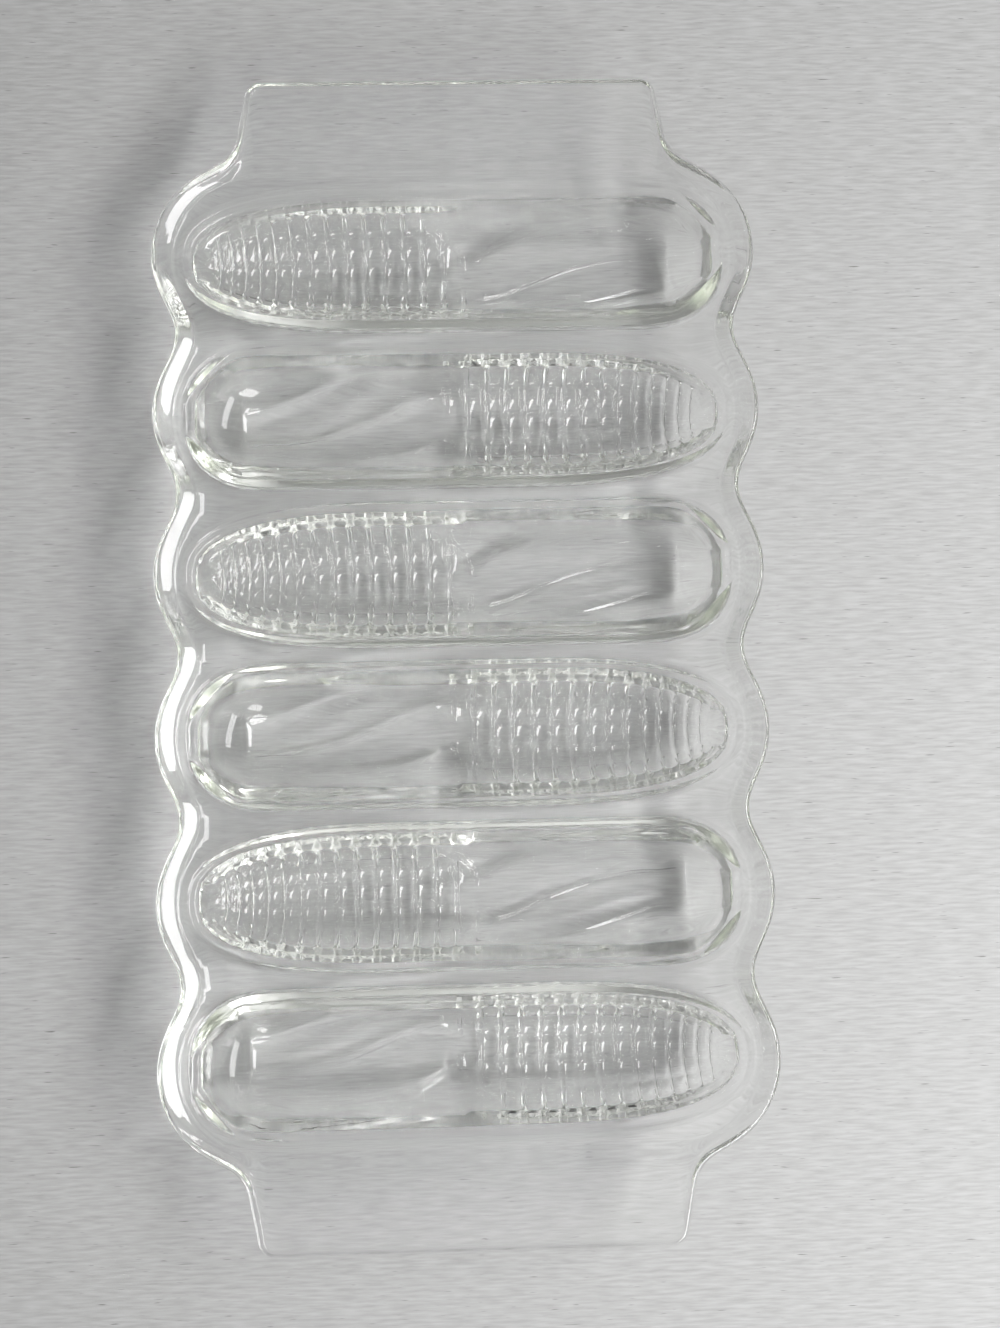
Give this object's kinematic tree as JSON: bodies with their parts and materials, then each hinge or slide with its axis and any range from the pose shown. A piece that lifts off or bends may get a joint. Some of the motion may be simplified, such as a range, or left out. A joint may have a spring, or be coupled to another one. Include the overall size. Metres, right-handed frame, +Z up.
{
  "type": "cornstick pan",
  "caption": "Shallow clear glass baking pan with a row of corn cob shaped cups lying head to tail, a scalloped rim and a flat handle at each end.",
  "frame": {"origin": "on the table, under the middle of the pan", "axes": "+X along the cups, +Y along the row of cups towards the far handle, +Z up out of the cups"},
  "size_m": [0.1628, 0.3118, 0.025],
  "materials": {
    "glass": "fire polished, clear, with a faint yellow green edge tint"
  },
  "bodies": {
    "root": {"cup_1": "glass", "cup_2": "glass", "cup_3": "glass", "cup_4": "glass", "cup_5": "glass", "cup_6": "glass", "rim_left": "glass", "rim_right": "glass", "handle_far": "glass", "handle_near": "glass"}
  },
  "joints": []
}
